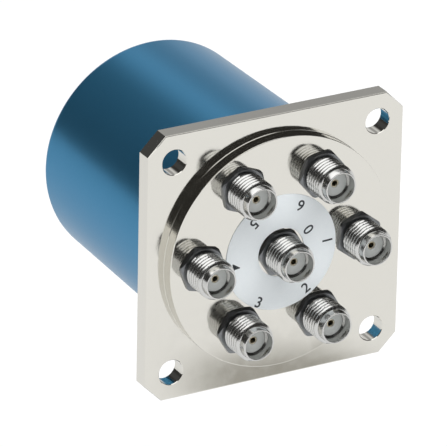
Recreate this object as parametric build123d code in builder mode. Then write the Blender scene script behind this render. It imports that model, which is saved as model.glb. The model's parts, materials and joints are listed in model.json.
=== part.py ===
from build123d import *
import os
from math import asin, cos, radians, sin

# Remote coaxial switch, one common port to six: a square flanged body carries seven threaded
# coaxial jacks in front, and six coils in a can behind it close one contact reed each.
# Millimetres. +Z is up and -Y is forward, out of the jacks. The origin is the centre of the
# flange's front face. A "station" is a distance forward of that face, so it is -Y.

# ---- Flange and body
flange_side = 44.45
flange_thickness = 2.67
flange_corner_cut = 3.0
flange_edge_break = 0.25
mount_hole_inset = 4.575
mount_hole_radius = 2.07
boss_radius = 19.2
boss_height = 2.07
boss_edge_break = 0.15
spigot_length = 3.93

# ---- Can, as wide as the boss where it meets the flange
can_draft = 0.6
can_length = 39.0
can_wall = 0.6
can_end_thickness = 0.8
can_edge_radius = 1.2
can_inner_edge_radius = 0.6
seal_setback = 1.93
seal_groove_width = 1.3
seal_groove_depth = 0.7

# ---- Coaxial jacks
throw_count = 6
jack_inset = 5.55
jack_height = 6.1
hex_shoulder = 0.325
hex_height = 0.53
hex_turns = (30, 52, 30, 30, 20, 10, 40)
thread_radius = 3.175
thread_pitch = 25.4 / 36
thread_crest_width = 0.2256
thread_depth = 0.42
thread_crests = 6
thread_lead = 0.19
pilot_step = 0.055
pilot_length = 1.22
rim_break = 0.1
jack_wall = 0.37
mouth_depth = 1.95
barrel_length = 4.0
barrel_wall = 0.81
barrel_lead = 0.2
seat_step = 0.28
insulator_stand = 0.3
contact_radius = 0.635
contact_recess = 0.12
contact_lead = 0.08
socket_radius = 0.465
socket_depth = 3.0
socket_slot_width = 0.15
socket_slot_length = 2.2
throw_head_radius = 0.9
common_head_radius = 2.6

# ---- Marking disc
label_gap = 0.01
label_hole_gap = 0.11
label_thickness = 0.12

# ---- Signal cavity, reeds and push rods
cavity_depth = 2.4
channel_width = 2.6
hub_pocket_radius = 4.6
pocket_gap = 0.35
cover_thickness = 1.6
throw_travel = 0.6
reed_thickness = 0.3
reed_width = 1.4
reed_inner_radius = 1.75
reed_overhang = 0.65
reed_corner_radius = 0.2
rod_side = 1.3
rod_neck_radius = 0.45
rod_button_radius = 0.75
rod_button_thickness = 0.35
rod_collar_radius = 1.5
rod_collar_thickness = 0.6
rod_tip_radius = 0.75
rod_tip_length = 0.6
rod_dome_height = 0.4
spring_length = 2.8
spring_radius = 1.25
spring_wire_radius = 0.13
spring_turns = 4

# ---- Rockers and their pivots
push_arm = 3.0
pole_arm = 3.2
pivot_pin_radius = 0.4
rocker_thickness = 1.0
rocker_width = 2.6
rocker_inner_reach = 1.0
rocker_outer_reach = 2.0
rocker_hub_radius = 0.9
frame_plate_thickness = 1.5
ear_thickness = 0.9
ear_radius = 1.0

# ---- Coils and magnetic circuit
coil_wall_gap = 1.455
coil_tube_gap = 0.4
core_radius = 1.5
core_tail_radius = 1.0
pole_shoe_radius = 2.2
pole_shoe_thickness = 0.8
bobbin_flange_radius = 4.1
bobbin_flange_thickness = 0.8
bobbin_wall = 0.55
winding_inset = 0.2
return_tube_wall = 1.2
return_tube_setback = 0.75
base_plate_thickness = 2.0
coil_pin_radius = 0.3
coil_pin_offset = 3.0

# ---- Standoffs, board, header and terminals
post_inset = 2.755
post_count = 3
standoff_across_flats = 3.2
rear_post_across_flats = 4.0
board_stand = 2.6
rear_spigot_radius = 1.5
board_thickness = 1.6
pin_proud = 0.8
wiring_room = 3.6
header_flange_thickness = 1.5
header_neck_radius = 12.0
terminal_radius = 0.5
terminal_shank_radius = 0.3
terminal_collar_radius = 0.85
terminal_collar_thickness = 0.4
terminal_ring_radius = 8.0
terminal_count = 8
terminal_reach = 5.0
terminal_lead = 0.12

# ---- Screws
stud_radius = 1.0
stud_reach = 3.0
tap_extra_depth = 0.5
pan_head_radius = 1.9
pan_head_height = 1.2
pan_head_edge = 0.4
drive_slot_width = 0.5
drive_slot_length = 2.4
drive_slot_depth = 0.6
cover_screw_land = 0.9
cover_screw_radius = 0.8
cover_screw_head_radius = 1.5
cover_screw_reach = 2.2

# ---- Clearances
seat_clearance = 0.02
insulator_clearance = 0.04
hole_clearance = 0.1
pin_clearance = 0.04
slide_clearance = 0.06
side_clearance = 0.12
contact_gap = 0.05
can_clearance = 0.07
wall_gap = 0.5

# ---- Stations, worked out forward and back from the flange's front face
boss_face = boss_height
jack_face = boss_face + jack_height
jack_seat = jack_face - mouth_depth
barrel_back = boss_face - barrel_length
flange_back = -flange_thickness
spigot_back = flange_back - spigot_length
cavity_floor = spigot_back + cavity_depth
insulator_back = cavity_floor - insulator_stand
reed_back = spigot_back + contact_gap
reed_front = reed_back + reed_thickness
head_face = reed_front + throw_travel + contact_gap
contact_front = jack_seat - contact_recess
cover_back = spigot_back - cover_thickness
frame_back = cover_back - frame_plate_thickness
collar_front = cover_back - spring_length
collar_back = collar_front - rod_collar_thickness
rod_tip = collar_back - rod_tip_length
rocker_front = rod_tip - contact_gap
rocker_back = rocker_front - rocker_thickness
pivot_station = (rocker_front + rocker_back) / 2
throw_angle = throw_travel / push_arm
pole_face = rocker_back - (pole_arm + pole_shoe_radius) * sin(throw_angle) - contact_gap
bobbin_front = pole_face - pole_shoe_thickness
can_back = flange_back - can_length
can_end_front = can_back + can_end_thickness
header_front = can_end_front + header_flange_thickness
terminal_back = can_back - terminal_reach
terminal_collar_back = can_back - terminal_collar_thickness
board_back = header_front + wiring_room
board_front = board_back + board_thickness
base_plate_back = board_front + board_stand
base_plate_front = base_plate_back + base_plate_thickness
coil_length = bobbin_front - base_plate_front
seal_station = flange_back - seal_setback

# ---- Radii of one jack, from its coupling thread inward
thread_root_radius = thread_radius - thread_depth
pilot_radius = thread_root_radius - pilot_step
mouth_radius = pilot_radius - jack_wall
insulator_radius = mouth_radius - seat_step
insulator_bore = insulator_radius + insulator_clearance
barrel_radius = insulator_bore + barrel_wall
hex_radius = thread_radius + hex_shoulder
hex_corner_radius = hex_radius / cos(radians(30))
jack_ring_radius = boss_radius - jack_inset
end_pocket_radius = insulator_radius + pocket_gap
label_radius = jack_ring_radius - hex_corner_radius - label_gap
label_hole_radius = hex_corner_radius + label_hole_gap

# ---- Directions round the axis, in degrees, seen from the front
throws = range(1, throw_count + 1)
throw_step = 360 / throw_count
throw_angles = {n: -throw_step * (n - 1) for n in throws}
gap_angle = throw_step / 2
post_step = 360 / post_count


def can_inner_radius(station):
    """Radius of the can's tapered inner wall at a station."""
    return boss_radius - can_wall - can_draft * (flange_back - station) / can_length


spigot_radius = can_inner_radius(spigot_back) - can_clearance
seal_floor_radius = spigot_radius - seal_groove_depth
cover_radius = can_inner_radius(cover_back) - can_clearance
frame_radius = can_inner_radius(frame_back) - wall_gap
base_plate_radius = can_inner_radius(base_plate_back) - wall_gap
board_radius = can_inner_radius(board_back) - wall_gap
header_radius = can_inner_radius(can_end_front) - can_inner_edge_radius - hole_clearance

# ---- Rings of coils, pivots, rods, posts and screws, from the can's wall inward
coil_ring_radius = can_inner_radius(base_plate_back) - coil_wall_gap - bobbin_flange_radius
pivot_ring_radius = coil_ring_radius - pole_arm
rod_ring_radius = pivot_ring_radius - push_arm
post_ring_radius = can_inner_radius(base_plate_back) - post_inset
cover_screw_ring_radius = hub_pocket_radius + cover_screw_radius + cover_screw_land
bobbin_barrel_radius = core_radius + seat_clearance + bobbin_wall
winding_radius = bobbin_flange_radius - winding_inset
return_tube_radius = coil_ring_radius - bobbin_flange_radius - coil_tube_gap
return_tube_inner_radius = return_tube_radius - return_tube_wall
ear_inner_face = rocker_width / 2 + side_clearance
frame_bore_radius = rod_ring_radius + rod_collar_radius + hole_clearance
stud_hole_radius = stud_radius + hole_clearance
tapped_radius = stud_radius + seat_clearance


def ring_point(radius, angle):
    """The x and z of a point on a circle round the axis."""
    return radius * cos(radians(angle)), radius * sin(radians(angle))


def ring_points(radius, count, start):
    """The x and z of evenly spaced points on a circle round the axis."""
    return [ring_point(radius, start + 360 / count * i) for i in range(count)]


def face_plane(station, angle=0.0):
    """Plane across the axis at a station, facing forward, its x turned to the angle."""
    along, up = ring_point(1, angle)
    return Plane(origin=(0, -station, 0), x_dir=(along, 0, up), z_dir=(0, -1, 0))


def side_plane(angle, offset=0.0):
    """Plane holding the axis: its x runs outward at the angle, its y forward."""
    along, up = ring_point(1, angle)
    return Plane(origin=(0, 0, 0), x_dir=(along, 0, up), z_dir=(up, 0, -along)).offset(offset)


def lathe_plane(x, z):
    """Plane through a line parallel to the axis: its x is a radius, its y a station."""
    return Plane(origin=(x, 0, z), x_dir=(1, 0, 0), z_dir=(0, 0, -1))


def lathe_axis(x, z):
    """Line parallel to the axis, pointing forward."""
    return Axis((x, 0, z), (0, -1, 0))


def lathe_profile(points, x=0.0, z=0.0):
    """Closed outline of (radius, station) points, on the lathe plane through x and z."""
    with BuildSketch(lathe_plane(x, z)) as profile:
        with BuildLine():
            Polyline(*points, close=True)
        make_face()
    return profile.sketch


def screw_profile(head_back, under_head, tip, radius, head_radius, x, z):
    """Half section of a pan head screw that points forward."""
    points = [
        (0, head_back),
        (head_radius - pan_head_edge, head_back),
        (head_radius, head_back + pan_head_edge),
        (head_radius, under_head),
        (radius, under_head),
        (radius, tip),
        (0, tip),
    ]
    return lathe_profile(points, x, z)


def drive_cross(back):
    """Cross recess outline at a screw head's back face, open backward."""
    with BuildSketch(face_plane(back)) as cross:
        with Locations((0, 0)):
            Rectangle(drive_slot_length, drive_slot_width)
            Rectangle(drive_slot_width, drive_slot_length)
    return cross.sketch


def save(part, name):
    """Label a finished piece and write it."""
    part.label = name
    export_step(part, f"parts/{name}.step")


os.makedirs("parts", exist_ok=True)

jack_points = {"common": (0.0, 0.0)}
for n in throws:
    jack_points[str(n)] = ring_point(jack_ring_radius, throw_angles[n])
jack_turns = {name: hex_turns[i % len(hex_turns)] for i, name in enumerate(jack_points)}


# ==== Body: flange, boss, spigot and signal cavity ====
hole_spacing = flange_side - 2 * mount_hole_inset
with BuildPart() as rf_body:
    with BuildSketch(face_plane(flange_back)) as flange:
        Rectangle(flange_side, flange_side)
        chamfer(flange.vertices(), flange_corner_cut)
        with GridLocations(hole_spacing, hole_spacing, 2, 2):
            Circle(mount_hole_radius, mode=Mode.SUBTRACT)
    extrude(amount=flange_thickness)
    chamfer(rf_body.faces().sort_by(Axis.Y)[0].outer_wire().edges(), flange_edge_break)

    with BuildSketch(face_plane(0)):
        Circle(boss_radius)
    extrude(amount=boss_height)
    chamfer(rf_body.faces().sort_by(Axis.Y)[0].outer_wire().edges(), boss_edge_break)

    with BuildSketch(face_plane(spigot_back)):
        Circle(spigot_radius)
    extrude(amount=spigot_length)
    with BuildSketch(lathe_plane(0, 0)):
        with Locations(((spigot_radius + seal_floor_radius) / 2, seal_station)):
            Rectangle(spigot_radius - seal_floor_radius, seal_groove_width)
    revolve(axis=lathe_axis(0, 0), mode=Mode.SUBTRACT)

    # One milled channel runs from the hub pocket to each outer jack.
    with BuildSketch(face_plane(spigot_back)):
        Circle(hub_pocket_radius)
        with PolarLocations(jack_ring_radius / 2, throw_count):
            Rectangle(jack_ring_radius, channel_width)
        with PolarLocations(jack_ring_radius, throw_count):
            Circle(end_pocket_radius)
    extrude(amount=cavity_depth, mode=Mode.SUBTRACT)

    # Each jack's barrel drops into a bore, and its insulator runs on to the cavity.
    with BuildSketch(face_plane(barrel_back - hole_clearance)):
        with Locations(*jack_points.values()):
            Circle(barrel_radius + seat_clearance)
    extrude(amount=barrel_length + hole_clearance, mode=Mode.SUBTRACT)
    with BuildSketch(face_plane(cavity_floor)):
        with Locations(*jack_points.values()):
            Circle(insulator_bore)
    extrude(amount=barrel_back - cavity_floor, mode=Mode.SUBTRACT)

    # Tapped holes for the cover screws, the frame screws and the standoffs.
    with BuildSketch(face_plane(spigot_back)):
        with PolarLocations(cover_screw_ring_radius, throw_count, gap_angle):
            Circle(cover_screw_radius + seat_clearance)
    extrude(amount=cover_screw_reach + tap_extra_depth, mode=Mode.SUBTRACT)
    with BuildSketch(face_plane(spigot_back)):
        with PolarLocations(post_ring_radius, 2 * post_count, gap_angle):
            Circle(tapped_radius)
    extrude(amount=stud_reach + tap_extra_depth, mode=Mode.SUBTRACT)
save(rf_body.part, "rf_body")


# ==== Coaxial jacks: shell, insulator and centre contact ====
def shell_points():
    """Outline of a jack's shell, as radius and station, from its back round to its bore."""
    points = [
        (insulator_bore, barrel_back),
        (barrel_radius - barrel_lead, barrel_back),
        (barrel_radius, barrel_back + barrel_lead),
        (barrel_radius, boss_face),
        (thread_root_radius, boss_face),
    ]
    # Ring crests with flat tops stand for the thread, each with a sloped flank on both sides.
    flank = (thread_pitch - thread_crest_width) / 2
    last_crest_front = jack_face - pilot_length - thread_lead
    for crest in reversed(range(thread_crests)):
        crest_front = last_crest_front - crest * thread_pitch
        crest_back = crest_front - thread_crest_width
        points.append((thread_root_radius, crest_back - flank))
        points.append((thread_radius, crest_back))
        points.append((thread_radius, crest_front))
    points += [
        (pilot_radius, jack_face - pilot_length),
        (pilot_radius, jack_face - rim_break),
        (pilot_radius - rim_break, jack_face),
        (mouth_radius + rim_break, jack_face),
        (mouth_radius, jack_face - rim_break),
        (mouth_radius, jack_seat),
        (insulator_bore, jack_seat),
    ]
    return points


for name, (x, z) in jack_points.items():
    with BuildPart() as jack_shell:
        revolve(lathe_profile(shell_points(), x, z), axis=lathe_axis(x, z))
        with BuildSketch(face_plane(boss_face)):
            with Locations((x, z)):
                RegularPolygon(hex_corner_radius, 6, rotation=jack_turns[name])
                Circle(thread_root_radius, mode=Mode.SUBTRACT)
        extrude(amount=hex_height)
    save(jack_shell.part, f"jack_shell_{name}")

with BuildPart() as insulators:
    with BuildSketch(face_plane(insulator_back)):
        with Locations(*jack_points.values()):
            Circle(insulator_radius)
            Circle(contact_radius + seat_clearance, mode=Mode.SUBTRACT)
    extrude(amount=jack_seat - insulator_back)
save(insulators.part, "insulators")


def contact_points(head_radius):
    """Outline of a centre contact: a flat head in the cavity and a socket in the mouth."""
    return [
        (0, head_face),
        (head_radius, head_face),
        (head_radius, insulator_back),
        (contact_radius, insulator_back),
        (contact_radius, contact_front - contact_lead),
        (contact_radius - contact_lead, contact_front),
        (socket_radius, contact_front),
        (socket_radius, contact_front - socket_depth),
        (0, contact_front - socket_depth),
    ]


for name, (x, z) in jack_points.items():
    head_radius = common_head_radius if name == "common" else throw_head_radius
    with BuildPart() as contact:
        revolve(lathe_profile(contact_points(head_radius), x, z), axis=lathe_axis(x, z))
        # Two crossed slots part the socket into four tines.
        with BuildSketch(face_plane(contact_front - socket_slot_length)):
            with Locations((x, z)):
                Rectangle(3 * contact_radius, socket_slot_width)
                Rectangle(socket_slot_width, 3 * contact_radius)
        extrude(amount=socket_slot_length, mode=Mode.SUBTRACT)
    save(contact.part, f"centre_contact_{name}")


# ==== Marking disc round the common jack ====
with BuildPart() as label_disc:
    with BuildSketch(face_plane(boss_face)):
        Circle(label_radius)
        Circle(label_hole_radius, mode=Mode.SUBTRACT)
    extrude(amount=label_thickness)
save(label_disc.part, "label_disc")


# ==== Cavity cover, with a square guide hole for each push rod ====
with BuildPart() as rf_cover:
    with BuildSketch(face_plane(cover_back)):
        Circle(cover_radius)
        with PolarLocations(rod_ring_radius, throw_count):
            Rectangle(
                rod_side + 2 * slide_clearance, rod_side + 2 * slide_clearance, mode=Mode.SUBTRACT
            )
        with PolarLocations(post_ring_radius, 2 * post_count, gap_angle):
            Circle(stud_hole_radius, mode=Mode.SUBTRACT)
    extrude(amount=cover_thickness)
    sink_depth = cover_screw_head_radius - cover_screw_radius
    for x, z in ring_points(cover_screw_ring_radius, throw_count, gap_angle):
        countersink = lathe_profile(
            [
                (0, cover_back),
                (cover_screw_head_radius + seat_clearance, cover_back),
                (cover_screw_radius + seat_clearance, cover_back + sink_depth),
                (cover_screw_radius + seat_clearance, spigot_back),
                (0, spigot_back),
            ],
            x,
            z,
        )
        revolve(countersink, axis=lathe_axis(x, z), mode=Mode.SUBTRACT)
save(rf_cover.part, "rf_cover")

with BuildPart() as cover_screws:
    for x, z in ring_points(cover_screw_ring_radius, throw_count, gap_angle):
        flat_head = lathe_profile(
            [
                (0, cover_back),
                (cover_screw_head_radius, cover_back),
                (cover_screw_radius, cover_back + sink_depth),
                (cover_screw_radius, spigot_back + cover_screw_reach),
                (0, spigot_back + cover_screw_reach),
            ],
            x,
            z,
        )
        revolve(flat_head, axis=lathe_axis(x, z))
    with BuildSketch(face_plane(cover_back)):
        with Locations(*ring_points(cover_screw_ring_radius, throw_count, gap_angle)):
            Rectangle(2 * cover_screw_head_radius, drive_slot_width)
    extrude(amount=sink_depth / 2, mode=Mode.SUBTRACT)
save(cover_screws.part, "cover_screws")


# ==== Reeds: each bridges the common contact's head and one outer contact's head ====
reed_outer_radius = jack_ring_radius + reed_overhang
for n in throws:
    with BuildPart() as reed:
        with BuildSketch(face_plane(reed_back, throw_angles[n])):
            with Locations(((reed_inner_radius + reed_outer_radius) / 2, 0)):
                RectangleRounded(
                    reed_outer_radius - reed_inner_radius, reed_width, reed_corner_radius
                )
            with Locations((rod_ring_radius, 0)):
                Circle(rod_neck_radius + seat_clearance, mode=Mode.SUBTRACT)
        extrude(amount=reed_thickness)
    save(reed.part, f"reed_{n}")


# ==== Push rods: button, neck through the reed, square shank, spring collar and domed tip ====
dome_radius = (rod_tip_radius**2 + rod_dome_height**2) / (2 * rod_dome_height)
half_dome = asin(rod_tip_radius / dome_radius) / 2
dome_middle = (dome_radius * sin(half_dome), rod_tip + dome_radius * (1 - cos(half_dome)))
for n in throws:
    x, z = ring_point(rod_ring_radius, throw_angles[n])
    button_front = reed_front + rod_button_thickness
    with BuildPart() as push_rod:
        with BuildSketch(face_plane(collar_front, throw_angles[n])):
            with Locations((rod_ring_radius, 0)):
                Rectangle(rod_side, rod_side)
        extrude(amount=reed_back - collar_front)
        turned = lathe_profile(
            [
                (0, collar_front),
                (rod_collar_radius, collar_front),
                (rod_collar_radius, collar_back),
                (0, collar_back),
            ],
            x,
            z,
        )
        revolve(turned, axis=lathe_axis(x, z))
        head = lathe_profile(
            [
                (0, reed_back),
                (rod_neck_radius, reed_back),
                (rod_neck_radius, reed_front),
                (rod_button_radius, reed_front),
                (rod_button_radius, button_front),
                (0, button_front),
            ],
            x,
            z,
        )
        revolve(head, axis=lathe_axis(x, z))
        with BuildSketch(lathe_plane(x, z)):
            with BuildLine():
                dome_start = (rod_tip_radius, rod_tip + rod_dome_height)
                Polyline((0, rod_tip), (0, collar_back), (rod_tip_radius, collar_back), dome_start)
                ThreePointArc(dome_start, dome_middle, (0, rod_tip))
            make_face()
        revolve(axis=lathe_axis(x, z))
    save(push_rod.part, f"push_rod_{n}")


# ==== Return springs, between the cover and each rod's collar ====
for n in throws:
    x, z = ring_point(rod_ring_radius, throw_angles[n])
    end_gap = spring_wire_radius + contact_gap
    coil_height = spring_length - 2 * end_gap
    with BuildPart() as return_spring:
        with BuildLine() as coil_path:
            Helix(
                pitch=coil_height / spring_turns,
                height=coil_height,
                radius=spring_radius,
                center=(x, -(collar_front + end_gap), z),
                direction=(0, -1, 0),
            )
        with BuildSketch(Plane(coil_path.line @ 0, z_dir=coil_path.line % 0)):
            Circle(spring_wire_radius)
        sweep()
    save(return_spring.part, f"return_spring_{n}")


# ==== Rocking armatures: outer end over a pole shoe, inner end over a push rod ====
rocker_inner_radius = rod_ring_radius - rocker_inner_reach
rocker_outer_radius = coil_ring_radius + rocker_outer_reach
for n in throws:
    with BuildPart() as rocker:
        with BuildSketch(side_plane(throw_angles[n], -rocker_width / 2)):
            with Locations(((rocker_inner_radius + rocker_outer_radius) / 2, pivot_station)):
                Rectangle(rocker_outer_radius - rocker_inner_radius, rocker_thickness)
            with Locations((pivot_ring_radius, pivot_station)):
                Circle(rocker_hub_radius)
                Circle(pivot_pin_radius + pin_clearance, mode=Mode.SUBTRACT)
        extrude(amount=rocker_width)
    save(rocker.part, f"rocker_{n}")


# ==== Pivot frame: a ring on the cover with a pair of ears for each rocker ====
with BuildPart() as pivot_frame:
    with BuildSketch(face_plane(frame_back)):
        Circle(frame_radius)
        Circle(frame_bore_radius, mode=Mode.SUBTRACT)
        with PolarLocations(post_ring_radius, 2 * post_count, gap_angle):
            Circle(stud_hole_radius, mode=Mode.SUBTRACT)
    extrude(amount=frame_plate_thickness)
    ear_foot = frame_back + frame_plate_thickness / 2
    for angle in throw_angles.values():
        for start in (ear_inner_face, -ear_inner_face - ear_thickness):
            with BuildSketch(side_plane(angle, start)):
                with Locations((pivot_ring_radius, (ear_foot + pivot_station) / 2)):
                    Rectangle(2 * ear_radius, ear_foot - pivot_station)
                with Locations((pivot_ring_radius, pivot_station)):
                    Circle(ear_radius)
                    Circle(pivot_pin_radius + seat_clearance, mode=Mode.SUBTRACT)
            extrude(amount=ear_thickness)
save(pivot_frame.part, "pivot_frame")

pin_half_length = ear_inner_face + ear_thickness
with BuildPart() as pivot_pins:
    for angle in throw_angles.values():
        with BuildSketch(side_plane(angle, -pin_half_length)):
            with Locations((pivot_ring_radius, pivot_station)):
                Circle(pivot_pin_radius)
        extrude(amount=2 * pin_half_length)
save(pivot_pins.part, "pivot_pins")


# ==== Frame screws, and the standoffs whose front studs clamp the frame and cover ====
standoff_start = gap_angle
frame_screw_start = gap_angle + post_step / 2
with BuildPart() as frame_screws:
    for x, z in ring_points(post_ring_radius, post_count, frame_screw_start):
        head_back = frame_back - pan_head_height
        shank_tip = spigot_back + stud_reach
        revolve(
            screw_profile(head_back, frame_back, shank_tip, stud_radius, pan_head_radius, x, z),
            axis=lathe_axis(x, z),
        )
    for x, z in ring_points(post_ring_radius, post_count, frame_screw_start):
        extrude(
            Pos(x, 0, z) * drive_cross(frame_back - pan_head_height),
            amount=drive_slot_depth,
            mode=Mode.SUBTRACT,
        )
save(frame_screws.part, "frame_screws")

with BuildPart() as front_standoffs:
    with BuildSketch(face_plane(base_plate_front)):
        with PolarLocations(post_ring_radius, post_count, standoff_start):
            RegularPolygon(standoff_across_flats / 2, 6, major_radius=False)
    extrude(amount=frame_back - base_plate_front)
    with BuildSketch(face_plane(frame_back)):
        with PolarLocations(post_ring_radius, post_count, standoff_start):
            Circle(stud_radius)
    extrude(amount=spigot_back + stud_reach - frame_back)
    with BuildSketch(face_plane(base_plate_front)):
        with PolarLocations(post_ring_radius, post_count, standoff_start):
            Circle(tapped_radius)
    extrude(amount=stud_reach + tap_extra_depth, mode=Mode.SUBTRACT)
save(front_standoffs.part, "front_standoffs")


# ==== Coils: cores with pole shoes, bobbins, windings and connecting pins ====
with BuildPart() as pole_cores:
    with BuildSketch(face_plane(base_plate_front)):
        with PolarLocations(coil_ring_radius, throw_count):
            Circle(core_radius)
    extrude(amount=pole_face - base_plate_front)
    with BuildSketch(face_plane(bobbin_front)):
        with PolarLocations(coil_ring_radius, throw_count):
            Circle(pole_shoe_radius)
    extrude(amount=pole_shoe_thickness)
    with BuildSketch(face_plane(base_plate_back)):
        with PolarLocations(coil_ring_radius, throw_count):
            Circle(core_tail_radius)
    extrude(amount=base_plate_thickness)
save(pole_cores.part, "pole_cores")

with BuildPart() as bobbins:
    with BuildSketch(face_plane(base_plate_front)):
        with PolarLocations(coil_ring_radius, throw_count):
            Circle(bobbin_barrel_radius)
            Circle(core_radius + seat_clearance, mode=Mode.SUBTRACT)
    extrude(amount=coil_length)
    for flange_station in (base_plate_front, bobbin_front - bobbin_flange_thickness):
        with BuildSketch(face_plane(flange_station)):
            with PolarLocations(coil_ring_radius, throw_count):
                Circle(bobbin_flange_radius)
                Circle(core_radius + seat_clearance, mode=Mode.SUBTRACT)
        extrude(amount=bobbin_flange_thickness)
    with BuildSketch(face_plane(base_plate_front)):
        with PolarLocations(coil_ring_radius, throw_count):
            with Locations((0, coil_pin_offset), (0, -coil_pin_offset)):
                Circle(coil_pin_radius + seat_clearance)
    extrude(amount=bobbin_flange_thickness, mode=Mode.SUBTRACT)
save(bobbins.part, "bobbins")

with BuildPart() as windings:
    with BuildSketch(face_plane(base_plate_front + bobbin_flange_thickness + seat_clearance)):
        with PolarLocations(coil_ring_radius, throw_count):
            Circle(winding_radius)
            Circle(bobbin_barrel_radius + seat_clearance, mode=Mode.SUBTRACT)
    extrude(amount=coil_length - 2 * (bobbin_flange_thickness + seat_clearance))
save(windings.part, "windings")

with BuildPart() as coil_pins:
    with BuildSketch(face_plane(board_back - pin_proud)):
        with PolarLocations(coil_ring_radius, throw_count):
            with Locations((0, coil_pin_offset), (0, -coil_pin_offset)):
                Circle(coil_pin_radius)
    extrude(amount=base_plate_front + bobbin_flange_thickness - board_back + pin_proud)
save(coil_pins.part, "coil_pins")

with BuildPart() as return_tube:
    with BuildSketch(face_plane(base_plate_front)):
        Circle(return_tube_radius)
        Circle(return_tube_inner_radius, mode=Mode.SUBTRACT)
    extrude(amount=rocker_back - return_tube_setback - base_plate_front)
save(return_tube.part, "return_tube")

with BuildPart() as base_plate:
    with BuildSketch(face_plane(base_plate_back)):
        Circle(base_plate_radius)
        with PolarLocations(coil_ring_radius, throw_count):
            Circle(core_tail_radius + seat_clearance, mode=Mode.SUBTRACT)
            with Locations((0, coil_pin_offset), (0, -coil_pin_offset)):
                Circle(coil_pin_radius + hole_clearance, mode=Mode.SUBTRACT)
        with PolarLocations(post_ring_radius, post_count, standoff_start):
            Circle(stud_hole_radius, mode=Mode.SUBTRACT)
    extrude(amount=base_plate_thickness)
save(base_plate.part, "base_plate")


# ==== Rear posts, circuit board, header and terminals ====
with BuildPart() as rear_posts:
    with BuildSketch(face_plane(board_front)):
        with PolarLocations(post_ring_radius, post_count, standoff_start):
            RegularPolygon(rear_post_across_flats / 2, 6, major_radius=False)
    extrude(amount=board_stand)
    with BuildSketch(face_plane(base_plate_back)):
        with PolarLocations(post_ring_radius, post_count, standoff_start):
            Circle(stud_radius)
    extrude(amount=base_plate_thickness + stud_reach)
    with BuildSketch(face_plane(header_front)):
        with PolarLocations(post_ring_radius, post_count, standoff_start):
            Circle(rear_spigot_radius)
    extrude(amount=board_front - header_front)
    with BuildSketch(face_plane(header_front)):
        with PolarLocations(post_ring_radius, post_count, standoff_start):
            Circle(tapped_radius)
    extrude(amount=stud_reach + tap_extra_depth, mode=Mode.SUBTRACT)
save(rear_posts.part, "rear_posts")

with BuildPart() as circuit_board:
    with BuildSketch(face_plane(board_back)):
        Circle(board_radius)
        with PolarLocations(post_ring_radius, post_count, standoff_start):
            Circle(rear_spigot_radius + hole_clearance, mode=Mode.SUBTRACT)
        with PolarLocations(terminal_ring_radius, terminal_count):
            Circle(terminal_shank_radius + seat_clearance, mode=Mode.SUBTRACT)
        with PolarLocations(coil_ring_radius, throw_count):
            with Locations((0, coil_pin_offset), (0, -coil_pin_offset)):
                Circle(coil_pin_radius + seat_clearance, mode=Mode.SUBTRACT)
    extrude(amount=board_thickness)
save(circuit_board.part, "circuit_board")

with BuildPart() as terminal_header:
    with BuildSketch(face_plane(can_end_front)):
        Circle(header_radius)
    extrude(amount=header_flange_thickness)
    with BuildSketch(face_plane(can_back)):
        Circle(header_neck_radius)
    extrude(amount=can_end_thickness)
    with BuildSketch(face_plane(can_back)):
        with PolarLocations(post_ring_radius, post_count, standoff_start):
            Circle(stud_hole_radius)
        with PolarLocations(terminal_ring_radius, terminal_count):
            Circle(terminal_shank_radius + seat_clearance)
    extrude(amount=header_front - can_back, mode=Mode.SUBTRACT)
save(terminal_header.part, "terminal_header")

# Each terminal is turned with a collar that stops it against the header.
with BuildPart() as terminals:
    for x, z in ring_points(terminal_ring_radius, terminal_count, 0):
        pin = lathe_profile(
            [
                (0, terminal_back),
                (terminal_radius - terminal_lead, terminal_back),
                (terminal_radius, terminal_back + terminal_lead),
                (terminal_radius, terminal_collar_back),
                (terminal_collar_radius, terminal_collar_back),
                (terminal_collar_radius, can_back),
                (terminal_shank_radius, can_back),
                (terminal_shank_radius, board_front + pin_proud),
                (0, board_front + pin_proud),
            ],
            x,
            z,
        )
        revolve(pin, axis=lathe_axis(x, z))
save(terminals.part, "terminals")


# ==== Can, its seal and its screws ====
with BuildPart() as can:
    with BuildSketch(lathe_plane(0, 0)) as wall_section:
        with BuildLine():
            Polyline(
                (boss_radius, flange_back),
                (boss_radius - can_draft, can_back),
                (header_neck_radius + hole_clearance, can_back),
                (header_neck_radius + hole_clearance, can_end_front),
                (can_inner_radius(can_end_front), can_end_front),
                (can_inner_radius(flange_back), flange_back),
                close=True,
            )
        make_face()
        rear_corner = wall_section.vertices().group_by(Axis.Y)[0].sort_by(Axis.X)[-1]
        fillet(rear_corner, can_edge_radius)
        inner_corner = (
            wall_section.vertices()
            .filter_by(lambda v: abs(v.Y - can_end_front) < can_wall / 2)
            .sort_by(Axis.X)[-1]
        )
        fillet(inner_corner, can_inner_edge_radius)
    revolve(axis=lathe_axis(0, 0))
    with BuildSketch(face_plane(can_back)):
        with PolarLocations(post_ring_radius, post_count, standoff_start):
            Circle(stud_hole_radius)
    extrude(amount=can_end_thickness, mode=Mode.SUBTRACT)
save(can.part, "can")

seal_room = can_inner_radius(seal_station) - seal_floor_radius
seal_section_radius = seal_room / 2 - seat_clearance
with BuildPart() as can_seal:
    with BuildSketch(lathe_plane(0, 0)):
        with Locations((seal_floor_radius + seal_room / 2, seal_station)):
            Circle(seal_section_radius)
    revolve(axis=lathe_axis(0, 0))
save(can_seal.part, "can_seal")

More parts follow.
